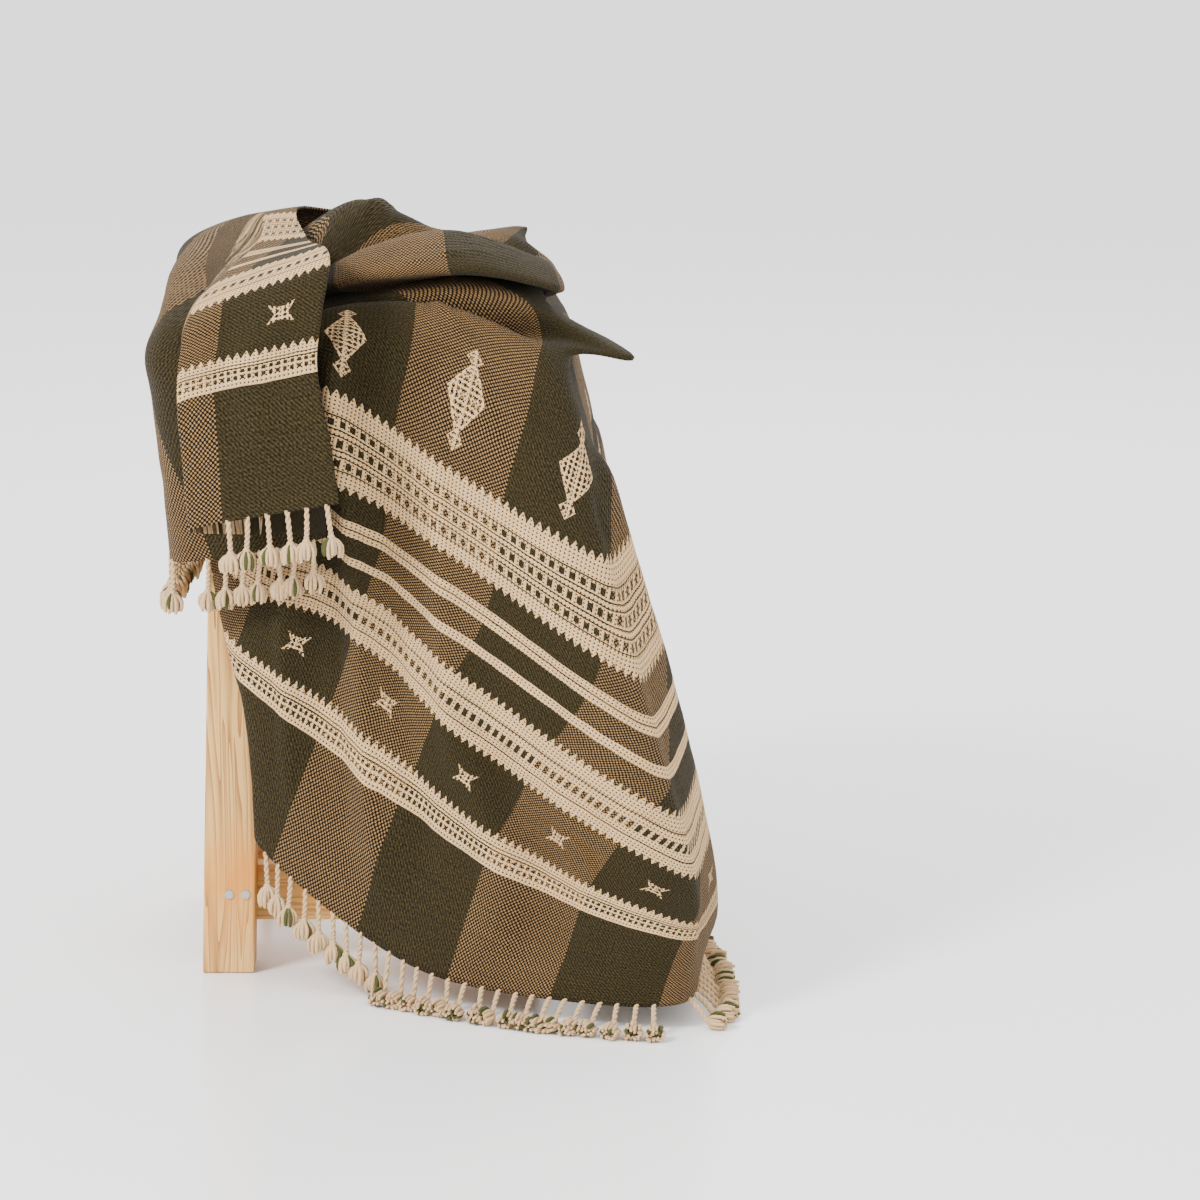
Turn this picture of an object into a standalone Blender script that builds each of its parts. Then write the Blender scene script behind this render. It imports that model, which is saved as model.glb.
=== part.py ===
"""A wool throw blanket draped over a small pine stool.

Metres, +Z up, the floor at zero. The camera side of the object faces -Y.
The tables below are written in millimetres.
"""
import math

import bmesh
import bpy
from mathutils import Vector

MM = 0.001

# Stool, in millimetres: the front legs' outer face is the plane y = 0
SEAT_TOP = 560.0
SEAT_THICK = 24.0
SEAT_LEFT = -202.0
SEAT_RIGHT = 106.0
SEAT_DEPTH = 300.0
SEAT_INSET = 2.0
LEG_WIDE = 47.0
LEG_DEEP = 45.0
LEG_SPLAY = 14.0
RAIL_HIGH = 52.0
RAIL_THICK = 20.0
RAIL_Z = 38.0
SCREW_RADIUS = 4.0
SCREW_HEAD = 1.2
SCREW_SIDES = 12
SCREW_Z = 74.0
SCREWS_FROM_EDGE = (25.0, 40.0)
FIT = 0.3

# Fringe: a strip parted from the hem, twisted cords, and a cut lock at each cord's end
STRIP_HIGH = 5.0
TASSEL_PITCH = 16.0
CORD_WIDE = 4.4
CORD_LONG = 24.0
CORD_ON_FLOOR = 8.0
LOCK_FULL_AT = 6.0
LOCK_HALF = 6.2
LOCK_END_HALF = 4.6
LOCK_LONG = 17.0

# Colours, linear
OLIVE = (0.045, 0.040, 0.024)
BEIGE = (0.68, 0.52, 0.36)
PINE = (0.80, 0.58, 0.34)
ZINC = (0.50, 0.50, 0.48)

# Cloth
CLOTH_THICK = 2.4
CELLS_ACROSS = 35
CELLS_ALONG = 54

# A row is one section of the cloth from one selvedge to the other, in the order in which the
# warp runs from the front hem to the flap's hem. From crossing_back on the sheet lies turned
# about its left back edge, so that edge_b becomes the right edge of the flap.
SECTION_COLUMNS = ("name", "edge_a", "fold_a", "ridge", "middle", "side", "turn", "back", "edge_b")
SECTIONS = (
    ("front_hem", (-122, -17, 150), (-148, -34, 130), (-45, -80, 52), (50, -134, 24),
     (224, -185, 22), (244, -20, 24), (216, 180, 40), (150, 330, 70)),
    ("star_border", (-168, -17, 285), (-148, -34, 268), (-57, -64, 204), (78, -120, 122),
     (236, -165, 76), (250, -10, 90), (212, 180, 110), (146, 330, 140)),
    ("comb_border", (-190, -17, 400), (-150, -34, 362), (-60, -50, 326), (54, -95, 228),
     (236, -140, 126), (240, 10, 150), (206, 180, 180), (140, 330, 210)),
    ("narrow_stripe", (-188, -18, 490), (-150, -34, 468), (-67, -42, 428), (43, -75, 361),
     (201, -105, 257), (212, 20, 280), (186, 180, 310), (130, 328, 340)),
    ("wide_border", (-176, -18, 570), (-150, -30, 560), (-80, -34, 552), (31, -50, 479),
     (160, -70, 407), (172, 20, 420), (160, 180, 440), (122, 326, 460)),
    ("shoulder", (-168, -14, 592), (-145, -20, 594), (-56, -26, 608), (48, -32, 563),
     (138, -45, 497), (150, 25, 500), (146, 180, 510), (118, 324, 524)),
    ("panel_top", (-165, 6, 588), (-140, -2, 594), (-50, -8, 618), (34, -10, 615),
     (118, -20, 575), (134, 40, 566), (132, 180, 570), (116, 316, 576)),
    ("first_valley", (-162, 30, 575), (-136, 28, 578), (-50, 26, 563.5), (34, 26, 563.5),
     (116, 20, 584), (190, 20, 566), (122, 140, 581), (90, 215, 584)),
    ("tan_fold", (-160, 30, 590), (-132, 26, 596), (-38, 15, 617), (38, 7, 627),
     (96, 8, 618), (120, 66, 600), (106, 150, 589), (85, 208, 591)),
    ("second_valley", (-156, 54, 602), (-128, 50, 608), (-34, 40, 628), (38, 36, 638),
     (96, 40, 630), (110, 84, 611), (102, 150, 597), (84, 208, 598)),
    ("roll_front", (-150, 44, 610), (-122, 36, 616), (-45, 6, 641), (45, -16, 652),
     (116, -2, 634), (126, 56, 621), (102, 150, 606), (84, 209, 606)),
    ("roll_top", (-146, 70, 614), (-118, 64, 620), (-45, 48, 662), (30, 45, 676),
     (104, 45, 652), (120, 84, 634), (101, 152, 618), (84, 209, 616)),
    ("third_valley", (-144, 92, 604), (-118, 90, 610), (-48, 90, 642), (20, 94, 652),
     (90, 98, 642), (106, 112, 645), (99, 156, 634), (84, 203, 630)),
    ("peak", (-152, 140, 606), (-128, 138, 614), (-66, 136, 688), (0, 140, 664),
     (38, 146, 658), (62, 163, 658), (79, 184, 657), (92, 206, 653)),
    ("back_edge", (-208, 296, 576), (-188, 302, 584), (-150, 306, 592), (-90, 310, 598),
     (-30, 310, 602), (20, 308, 604), (46, 306, 604), (64, 302, 602)),
    ("back_fall", (-212, 318, 480), (-190, 322, 480), (-150, 318, 480), (-90, 322, 480),
     (-30, 318, 480), (20, 322, 480), (46, 318, 480), (62, 316, 480)),
    ("loop_inner", (-212, 328, 400), (-190, 330, 396), (-150, 326, 390), (-90, 330, 386),
     (-30, 326, 384), (20, 330, 386), (46, 326, 390), (60, 324, 396)),
    ("loop_low", (-212, 350, 372), (-190, 354, 366), (-150, 350, 362), (-90, 354, 356),
     (-30, 350, 354), (20, 354, 356), (46, 350, 362), (58, 348, 368)),
    ("loop_outer", (-212, 378, 400), (-190, 382, 396), (-148, 382, 390), (-90, 384, 386),
     (-32, 382, 384), (16, 384, 386), (42, 380, 390), (56, 378, 396)),
    ("back_climb", (-212, 378, 490), (-190, 382, 490), (-146, 384, 490), (-90, 388, 490),
     (-34, 384, 490), (12, 386, 490), (36, 382, 490), (50, 380, 490)),
    ("back_shoulder", (-214, 332, 598), (-190, 344, 606), (-156, 354, 612), (-116, 360, 614),
     (-74, 362, 616), (-38, 360, 616), (-16, 354, 616), (-4, 346, 614)),
    ("crossing_back", (-220, 314, 580), (-224, 298, 600), (-222, 284, 618), (-212, 268, 634),
     (-190, 256, 648), (-162, 248, 658), (-136, 240, 664), (-112, 234, 668)),
    ("crossing_front", (-222, 306, 570), (-226, 262, 598), (-229, 214, 614), (-229, 166, 624),
     (-222, 116, 634), (-194, 94, 646), (-150, 90, 656), (-104, 88, 662)),
    ("flap_top", (-220, 284, 560), (-224, 232, 588), (-228, 172, 602), (-232, 106, 606),
     (-228, -8, 604), (-176, -32, 610), (-196, -56, 628), (-78, -62, 673)),
    ("flap_star", (-222, 286, 530), (-226, 232, 560), (-230, 172, 570), (-236, 106, 572),
     (-238, -14, 572), (-120, -66, 582), (-208, -88, 590), (-84, -96, 625)),
    ("flap_border", (-220, 286, 495), (-222, 232, 518), (-226, 172, 526), (-230, 104, 528),
     (-230, -18, 530), (-86, -74, 540), (-211, -94, 548), (-88, -102, 578)),
    ("flap_plain", (-218, 284, 432), (-218, 228, 446), (-220, 170, 448), (-224, 100, 450),
     (-220, -20, 450), (-84, -66, 486), (-207, -96, 487), (-76, -118, 512)),
    ("flap_hem", (-218, 282, 374), (-216, 226, 380), (-216, 166, 384), (-222, 98, 384),
     (-214, -24, 388), (-84, -66, 420), (-202, -98, 432), (-69, -124, 462)),
)

# A crease is a soft ridge, or a trough where its height is negative, that runs straight
# from one station and row to another and fades over its half width
CREASE_COLUMNS = ("name", "start_station", "start_row", "end_station", "end_row", "half_width", "height")
CREASES = (
    ("left_overlap", 2.15, 0.2, 1.95, 4.6, 0.30, 9.0),
    ("left_hollow", 1.75, 0.3, 1.55, 4.4, 0.28, -7.0),
    ("hem_hollow", 3.30, 0.2, 3.05, 2.4, 0.30, -11.0),
    ("hem_ridge", 3.02, 0.2, 2.80, 3.2, 0.22, 7.0),
    ("right_ridge", 3.72, 0.4, 3.60, 5.0, 0.30, 6.0),
    ("shoulder_hollow", 2.40, 2.4, 2.75, 5.2, 0.30, -6.0),
    ("side_fold", 4.80, 0.3, 4.70, 5.0, 0.35, 12.0),
    ("side_hollow", 5.50, 0.3, 5.40, 5.0, 0.40, -12.0),
    ("back_fold", 6.30, 0.3, 6.20, 4.6, 0.35, 9.0),
    ("roll_crease", 2.40, 10.4, 4.20, 10.9, 0.35, -5.0),
    ("loop_fold_left", 2.30, 18.2, 2.10, 20.6, 0.40, -8.0),
    ("loop_fold_right", 4.20, 18.2, 4.40, 20.6, 0.45, -9.0),
    ("flap_crease", 6.62, 23.4, 6.55, 26.2, 0.16, -4.0),
    ("left_side_fold", 2.10, 23.2, 2.00, 26.4, 0.40, 7.0),
)
CREASE_FADE = 0.5

# A fringe strip runs between two stations of a hem, counted along the columns above
FRINGE_COLUMNS = ("name", "hem", "start", "end")
FRINGES = (
    ("fringe_front", "front_hem", 1.03, 3.92),
    ("fringe_right", "front_hem", 4.12, 5.48),
    ("fringe_right_back", "front_hem", 5.52, 6.98),
    ("fringe_flap", "flap_hem", 6.3, 6.97),
    ("fringe_under_flap", "flap_hem", 4.16, 4.9),
    ("fringe_left", "flap_hem", 0.02, 3.9),
)

COLLECTION = bpy.data.collections.new("wool_throw_blanket_on_stool")


def paint(name, colour, roughness):
    """A Principled material of one colour, roughness and no metal."""
    material = bpy.data.materials.new(name)
    material.use_nodes = True
    shader = material.node_tree.nodes["Principled BSDF"]
    shader.inputs["Base Color"].default_value = (*colour, 1.0)
    shader.inputs["Roughness"].default_value = roughness
    shader.inputs["Metallic"].default_value = 0.0
    material.diffuse_color = (*colour, 1.0)
    return material


def add_object(name, mesh, material):
    """Put a mesh into the collection as one named piece."""
    piece = bpy.data.objects.new(name, mesh)
    piece.data.materials.append(material)
    COLLECTION.objects.link(piece)
    return piece


def blend_four(before, start, end, after, t):
    """Catmull-Rom value between start and end."""
    t2 = t * t
    t3 = t2 * t
    return 0.5 * ((2 * start) + (end - before) * t + (2 * before - 5 * start + 4 * end - after) * t2
                  + (3 * start - before - 3 * end + after) * t3)


def along(points, t):
    """The point at t, from 0 to 1, of a smooth curve through a row of points."""
    last = len(points) - 1
    place = min(t, 0.999999) * last
    index = int(place)
    before = points[max(index - 1, 0)]
    after = points[min(index + 2, last)]
    return blend_four(before, points[index], points[index + 1], after, place - index)


def cloth_grid():
    """Rows of points of the cloth's middle surface, evenly spaced along the warp."""
    rows = [[Vector(point) * MM for point in section[1:]] for section in SECTIONS]
    across = [[along(row, i / CELLS_ACROSS) for i in range(CELLS_ACROSS + 1)] for row in rows]
    columns = [[row[i] for row in across] for i in range(CELLS_ACROSS + 1)]
    return [[along(column, j / CELLS_ALONG) for column in columns] for j in range(CELLS_ALONG + 1)]


def crease_height(station, row):
    """The height of all creases at a station and row, in metres."""
    total = 0.0
    for _, station_a, row_a, station_b, row_b, half_width, height in CREASES:
        reach = (row - row_a) / (row_b - row_a)
        fade = min(min(row - row_a, row_b - row) / CREASE_FADE, 1.0)
        middle = station_a + (station_b - station_a) * reach
        aside = abs(station - middle) / half_width
        if fade > 0.0 and aside < 1.0:
            rise = fade * fade * (3.0 - 2.0 * fade)
            total += height * MM * rise * 0.5 * (1.0 + math.cos(math.pi * aside))
    return total


def creased(grid):
    """The grid with each point moved out of its face by the creases there."""
    last_row = len(SECTIONS) - 1
    last_station = len(SECTION_COLUMNS) - 2
    moved = []
    for j, line in enumerate(grid):
        below = grid[max(j - 1, 0)]
        above = grid[min(j + 1, CELLS_ALONG)]
        new_line = []
        for i, point in enumerate(line):
            across = line[min(i + 1, CELLS_ACROSS)] - line[max(i - 1, 0)]
            out = across.cross(above[i] - below[i]).normalized()
            rise = crease_height(i / CELLS_ACROSS * last_station, j / CELLS_ALONG * last_row)
            new_line.append(point + out * rise)
        moved.append(new_line)
    return moved


def build_cloth(material):
    """The whole throw as one sheet of even thickness on its creased middle surface."""
    grid = creased(cloth_grid())
    shape = bmesh.new()
    points = [[shape.verts.new(point) for point in row] for row in grid]
    for lower, upper in zip(points, points[1:]):
        for i in range(CELLS_ACROSS):
            shape.faces.new((lower[i], lower[i + 1], upper[i + 1], upper[i]))
    mesh = bpy.data.meshes.new("blanket_cloth")
    shape.to_mesh(mesh)
    shape.free()
    mesh.shade_smooth()
    cloth = add_object("blanket_cloth", mesh, material)
    wall = cloth.modifiers.new("wall", "SOLIDIFY")
    wall.thickness = CLOTH_THICK * MM
    wall.offset = 0.0
    return cloth


def box(name, low, high, material, splay=0.0):
    """A board between two corners; its foot stands out sideways by the splay."""
    low = Vector(low)
    high = Vector(high)
    shape = bmesh.new()
    bmesh.ops.create_cube(shape, size=1.0)
    size = high - low
    for vertex in shape.verts:
        vertex.co = (low + Vector((vertex.co[i] + 0.5) * size[i] for i in range(3))) * MM
        vertex.co.x += splay * MM * (high.z - vertex.co.z / MM) / size.z
    mesh = bpy.data.meshes.new(name)
    shape.to_mesh(mesh)
    shape.free()
    return add_object(name, mesh, material)


def build_stool(pine, steel):
    """Seat board, four splayed legs, end rails behind the front legs, side rails and screws."""
    leg_top = SEAT_TOP - SEAT_THICK - FIT
    left = SEAT_LEFT + LEG_SPLAY
    right = SEAT_RIGHT - LEG_SPLAY - LEG_WIDE
    box("stool_seat", (SEAT_LEFT, SEAT_INSET, leg_top + FIT),
        (SEAT_RIGHT, SEAT_DEPTH - SEAT_INSET, SEAT_TOP), pine)
    rail_low = RAIL_Z
    rail_high = RAIL_Z + RAIL_HIGH
    back_leg = SEAT_DEPTH - LEG_DEEP
    for side, x, splay in (("left", left, -LEG_SPLAY), ("right", right, LEG_SPLAY)):
        for end, y in (("front", 0.0), ("back", back_leg)):
            box(f"stool_leg_{end}_{side}", (x, y, 0), (x + LEG_WIDE, y + LEG_DEEP, leg_top), pine, splay)
    rail_left = SEAT_LEFT + FIT
    rail_right = SEAT_RIGHT - FIT
    front_rail = LEG_DEEP + FIT
    back_rail = back_leg - FIT - RAIL_THICK
    box("stool_rail_front", (rail_left, front_rail, rail_low),
        (rail_right, front_rail + RAIL_THICK, rail_high), pine)
    box("stool_rail_back", (rail_left, back_rail, rail_low), (rail_right, back_rail + RAIL_THICK, rail_high), pine)
    for side, x in (("left", left), ("right", right + LEG_WIDE - RAIL_THICK)):
        box(f"stool_rail_{side}", (x, front_rail + RAIL_THICK + FIT, rail_low),
            (x + RAIL_THICK, back_rail - FIT, rail_high), pine)
    for number, inward in enumerate(SCREWS_FROM_EDGE, start=1):
        middle = Vector((left - LEG_SPLAY + inward, -FIT - SCREW_HEAD / 2, SCREW_Z)) * MM
        screw = bmesh.new()
        bmesh.ops.create_cone(screw, cap_ends=True, segments=SCREW_SIDES, radius1=SCREW_RADIUS * MM,
                              radius2=SCREW_RADIUS * MM, depth=SCREW_HEAD * MM)
        for vertex in screw.verts:
            vertex.co = middle + Vector((vertex.co.x, vertex.co.z, -vertex.co.y))
        mesh = bpy.data.meshes.new(f"stool_screw_{number}")
        screw.to_mesh(mesh)
        screw.free()
        add_object(f"stool_screw_{number}", mesh, steel)


def hem_points(hem, station):
    """A point on a hem, the way the warp leaves it, and the way out of the cloth's face."""
    row = [section[0] for section in SECTIONS].index(hem)
    inner = row + 1 if row == 0 else row - 1
    last = len(SECTION_COLUMNS) - 2
    edge = [Vector(point) * MM for point in SECTIONS[row][1:]]
    above = [Vector(point) * MM for point in SECTIONS[inner][1:]]
    step = 0.02
    point = along(edge, station / last)
    away = (point - along(above, station / last)).normalized()
    run = (along(edge, (station + step) / last) - along(edge, (station - step) / last)).normalized()
    out = away.cross(run).normalized()
    return point, away, run, out


def hem_stations(hem, start, end):
    """Stations a tassel's pitch apart between two stations of a hem."""
    steps = 400
    stations = [start + (end - start) * i / steps for i in range(steps + 1)]
    places = [hem_points(hem, station)[0] for station in stations]
    lengths = [0.0]
    for before, after in zip(places, places[1:]):
        lengths.append(lengths[-1] + (after - before).length)
    count = int(lengths[-1] / (TASSEL_PITCH * MM))
    pitch = lengths[-1] / count
    wanted = []
    for k in range(count):
        centre = (k + 0.5) * pitch
        for offset in (-0.5 * CORD_WIDE * MM, 0.5 * CORD_WIDE * MM):
            reach = centre + offset
            i = next(n for n, length in enumerate(lengths) if length >= reach)
            wanted.append(stations[i])
    return [start] + wanted + [end]


def tassel_rings(centre, run, out):
    """Centres, half widths and axes of a tassel's rings, laid on the floor where the hem is low."""
    reach = (STRIP_HIGH + CORD_LONG + LOCK_LONG) * MM
    half = LOCK_HALF * MM
    if centre.z > reach:
        drop = Vector((0, 0, -1))
        neck = centre + drop * CORD_LONG * MM
        rings = [(neck, CORD_WIDE / 2 * MM), (neck + drop * LOCK_FULL_AT * MM, half),
                 (neck + drop * LOCK_LONG * MM, LOCK_END_HALF * MM)]
        return [(place, size, run, out) for place, size in rings]
    flat = Vector((out.x, out.y, 0)).normalized()
    level = Vector((centre.x, centre.y, half))
    fall = max(centre.z - half, 0.0)
    go = math.sqrt(max((CORD_LONG * MM) ** 2 - fall ** 2, (CORD_ON_FLOOR * MM) ** 2))
    neck = level + flat * go
    side = Vector((run.x, run.y, 0)).normalized()
    up = Vector((0, 0, 1))
    rings = [(neck, CORD_WIDE / 2 * MM), (neck + flat * LOCK_FULL_AT * MM, half),
             (neck + flat * LOCK_LONG * MM, half)]
    return [(place, size, side, up) for place, size in rings]


def ring_corners(place, half, run, out):
    """The four corners of a ring, in the order of a strip section's lower face."""
    return [place - run * half + out * half, place - run * half - out * half,
            place + run * half - out * half, place + run * half + out * half]


def build_fringe(name, hem, start, end, material):
    """A strip with a tassel drawn out of each of its root faces."""
    shape = bmesh.new()
    sections = []
    for station in hem_stations(hem, start, end):
        point, away, run, out = hem_points(hem, station)
        half = CLOTH_THICK / 2 * MM
        top = point + away * FIT * MM
        low = top + away * STRIP_HIGH * MM
        corners = (top + out * half, top - out * half, low - out * half, low + out * half)
        sections.append(([shape.verts.new(c) for c in corners], low, run, out))
    for k, ((a, low_a, run, out), (b, low_b, *_)) in enumerate(zip(sections, sections[1:])):
        shape.faces.new((a[0], b[0], b[1], a[1]))
        shape.faces.new((a[1], b[1], b[2], a[2]))
        shape.faces.new((a[3], b[3], b[0], a[0]))
        if k % 2 == 0:
            shape.faces.new((a[2], b[2], b[3], a[3]))
            continue
        centre = (low_a + low_b) / 2
        ring = [a[3], a[2], b[2], b[3]]
        for place, half, side, face in tassel_rings(centre, run, out):
            corners = [shape.verts.new(c) for c in ring_corners(place, half, side, face)]
            for i in range(4):
                j = (i + 1) % 4
                shape.faces.new((ring[i], ring[j], corners[j], corners[i]))
            ring = corners
        shape.faces.new(ring)
    shape.faces.new(sections[0][0])
    shape.faces.new(sections[-1][0][::-1])
    bmesh.ops.recalc_face_normals(shape, faces=shape.faces)
    mesh = bpy.data.meshes.new(name)
    shape.to_mesh(mesh)
    shape.free()
    return add_object(name, mesh, material)


def stand_at_origin():
    """Move every piece so that the whole object's box is centred over the origin."""
    bpy.context.view_layer.update()
    depsgraph = bpy.context.evaluated_depsgraph_get()
    points = []
    for piece in COLLECTION.objects:
        points += [vertex.co.copy() for vertex in piece.evaluated_get(depsgraph).data.vertices]
    middle = [(min(p[i] for p in points) + max(p[i] for p in points)) / 2 for i in range(2)]
    for piece in COLLECTION.objects:
        piece.location = (-middle[0], -middle[1], 0.0)


def main():
    for old in list(bpy.data.objects):
        bpy.data.objects.remove(old)
    bpy.context.scene.collection.children.link(COLLECTION)
    build_cloth(paint("olive_wool", OLIVE, 0.9))
    build_stool(paint("pine", PINE, 0.55), paint("zinc_screw", ZINC, 0.4))
    yarn = paint("beige_yarn", BEIGE, 0.92)
    for name, hem, start, end in FRINGES:
        build_fringe(name, hem, start, end, yarn)
    stand_at_origin()


main()
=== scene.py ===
import functools
import math
import random

import bmesh
import bpy
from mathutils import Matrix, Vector, noise


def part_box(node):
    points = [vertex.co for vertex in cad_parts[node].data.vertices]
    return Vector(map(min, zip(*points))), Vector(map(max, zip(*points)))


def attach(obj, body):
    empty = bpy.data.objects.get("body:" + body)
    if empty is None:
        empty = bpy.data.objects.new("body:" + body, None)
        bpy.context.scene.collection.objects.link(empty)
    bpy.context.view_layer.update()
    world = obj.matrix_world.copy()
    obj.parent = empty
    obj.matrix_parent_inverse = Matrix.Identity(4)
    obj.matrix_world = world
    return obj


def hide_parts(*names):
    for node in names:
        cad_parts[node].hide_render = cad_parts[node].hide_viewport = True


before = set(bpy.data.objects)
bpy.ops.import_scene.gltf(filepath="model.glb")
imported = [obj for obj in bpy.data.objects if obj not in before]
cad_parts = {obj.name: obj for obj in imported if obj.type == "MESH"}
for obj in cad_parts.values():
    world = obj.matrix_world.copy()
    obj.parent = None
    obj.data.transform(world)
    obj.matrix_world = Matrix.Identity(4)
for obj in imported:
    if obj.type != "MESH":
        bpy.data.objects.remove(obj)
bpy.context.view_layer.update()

bl_info = {
    "name": "Wool throw over a stool",
    "version": (1, 0, 0),
    "blender": (4, 5, 0),
    "location": "View3D > Sidebar > Throw",
    "description": "Dresses a draped wool throw and the pine stool under it",
    "category": "Object",
}

MM = 0.001
SEAT_LOW = Vector(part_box("stool_seat")[0])
SEAT_CORNER = Vector((-202.0, 2.0, 535.7)) * MM
# The tables below count millimetres from the front leg's face; the frame's origin lies under
# the whole box
SHIFT = Vector((SEAT_LOW.x - SEAT_CORNER.x, SEAT_LOW.y - SEAT_CORNER.y, 0.0))

# The camera of the photograph
CAMERA_AIM = Vector((0.1415, -0.0823, 0.348))
CAMERA_AWAY = 6.0
CAMERA_TILT = 12.5
CAMERA_LENS = 200.0

SECTION_COLUMNS = ("name", "edge_a", "fold_a", "ridge", "middle", "side", "turn", "back", "edge_b")
SECTIONS = (
    ("front_hem", (-122, -17, 150), (-148, -34, 130), (-45, -80, 52), (50, -134, 24),
     (224, -185, 22), (244, -20, 24), (216, 180, 40), (150, 330, 70)),
    ("star_border", (-168, -17, 285), (-148, -34, 268), (-57, -64, 204), (78, -120, 122),
     (236, -165, 76), (250, -10, 90), (212, 180, 110), (146, 330, 140)),
    ("comb_border", (-190, -17, 400), (-150, -34, 362), (-60, -50, 326), (54, -95, 228),
     (236, -140, 126), (240, 10, 150), (206, 180, 180), (140, 330, 210)),
    ("narrow_stripe", (-188, -18, 490), (-150, -34, 468), (-67, -42, 428), (43, -75, 361),
     (201, -105, 257), (212, 20, 280), (186, 180, 310), (130, 328, 340)),
    ("wide_border", (-176, -18, 570), (-150, -30, 560), (-80, -34, 552), (31, -50, 479),
     (160, -70, 407), (172, 20, 420), (160, 180, 440), (122, 326, 460)),
    ("shoulder", (-168, -14, 592), (-145, -20, 594), (-56, -26, 608), (48, -32, 563),
     (138, -45, 497), (150, 25, 500), (146, 180, 510), (118, 324, 524)),
    ("panel_top", (-165, 6, 588), (-140, -2, 594), (-50, -8, 618), (34, -10, 615),
     (118, -20, 575), (134, 40, 566), (132, 180, 570), (116, 316, 576)),
    ("first_valley", (-162, 30, 575), (-136, 28, 578), (-50, 26, 563.5), (34, 26, 563.5),
     (116, 20, 584), (190, 20, 566), (122, 140, 581), (90, 215, 584)),
    ("tan_fold", (-160, 30, 590), (-132, 26, 596), (-38, 15, 617), (38, 7, 627),
     (96, 8, 618), (120, 66, 600), (106, 150, 589), (85, 208, 591)),
    ("second_valley", (-156, 54, 602), (-128, 50, 608), (-34, 40, 628), (38, 36, 638),
     (96, 40, 630), (110, 84, 611), (102, 150, 597), (84, 208, 598)),
    ("roll_front", (-150, 44, 610), (-122, 36, 616), (-45, 6, 641), (45, -16, 652),
     (116, -2, 634), (126, 56, 621), (102, 150, 606), (84, 209, 606)),
    ("roll_top", (-146, 70, 614), (-118, 64, 620), (-45, 48, 662), (30, 45, 676),
     (104, 45, 652), (120, 84, 634), (101, 152, 618), (84, 209, 616)),
    ("third_valley", (-144, 92, 604), (-118, 90, 610), (-48, 90, 642), (20, 94, 652),
     (90, 98, 642), (106, 112, 645), (99, 156, 634), (84, 203, 630)),
    ("peak", (-152, 140, 606), (-128, 138, 614), (-66, 136, 688), (0, 140, 664),
     (38, 146, 658), (62, 163, 658), (79, 184, 657), (92, 206, 653)),
    ("back_edge", (-208, 296, 576), (-188, 302, 584), (-150, 306, 592), (-90, 310, 598),
     (-30, 310, 602), (20, 308, 604), (46, 306, 604), (64, 302, 602)),
    ("back_fall", (-212, 318, 480), (-190, 322, 480), (-150, 318, 480), (-90, 322, 480),
     (-30, 318, 480), (20, 322, 480), (46, 318, 480), (62, 316, 480)),
    ("loop_inner", (-212, 328, 400), (-190, 330, 396), (-150, 326, 390), (-90, 330, 386),
     (-30, 326, 384), (20, 330, 386), (46, 326, 390), (60, 324, 396)),
    ("loop_low", (-212, 350, 372), (-190, 354, 366), (-150, 350, 362), (-90, 354, 356),
     (-30, 350, 354), (20, 354, 356), (46, 350, 362), (58, 348, 368)),
    ("loop_outer", (-212, 378, 400), (-190, 382, 396), (-148, 382, 390), (-90, 384, 386),
     (-32, 382, 384), (16, 384, 386), (42, 380, 390), (56, 378, 396)),
    ("back_climb", (-212, 378, 490), (-190, 382, 490), (-146, 384, 490), (-90, 388, 490),
     (-34, 384, 490), (12, 386, 490), (36, 382, 490), (50, 380, 490)),
    ("back_shoulder", (-214, 332, 598), (-190, 344, 606), (-156, 354, 612), (-116, 360, 614),
     (-74, 362, 616), (-38, 360, 616), (-16, 354, 616), (-4, 346, 614)),
    ("crossing_back", (-220, 314, 580), (-224, 298, 600), (-222, 284, 618), (-212, 268, 634),
     (-190, 256, 648), (-162, 248, 658), (-136, 240, 664), (-112, 234, 668)),
    ("crossing_front", (-222, 306, 570), (-226, 262, 598), (-229, 214, 614), (-229, 166, 624),
     (-222, 116, 634), (-194, 94, 646), (-150, 90, 656), (-104, 88, 662)),
    ("flap_top", (-220, 284, 560), (-224, 232, 588), (-228, 172, 602), (-232, 106, 606),
     (-228, -8, 604), (-176, -32, 610), (-196, -56, 628), (-78, -62, 673)),
    ("flap_star", (-222, 286, 530), (-226, 232, 560), (-230, 172, 570), (-236, 106, 572),
     (-238, -14, 572), (-120, -66, 582), (-208, -88, 590), (-84, -96, 625)),
    ("flap_border", (-220, 286, 495), (-222, 232, 518), (-226, 172, 526), (-230, 104, 528),
     (-230, -18, 530), (-86, -74, 540), (-211, -94, 548), (-88, -102, 578)),
    ("flap_plain", (-218, 284, 432), (-218, 228, 446), (-220, 170, 448), (-224, 100, 450),
     (-220, -20, 450), (-84, -66, 486), (-207, -96, 487), (-76, -118, 512)),
    ("flap_hem", (-218, 282, 374), (-216, 226, 380), (-216, 166, 384), (-222, 98, 384),
     (-214, -24, 388), (-84, -66, 420), (-202, -98, 432), (-69, -124, 462)),
)

# The stations run from 0 at edge_a to this one at edge_b
LAST_STATION = len(SECTION_COLUMNS) - 2

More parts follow.
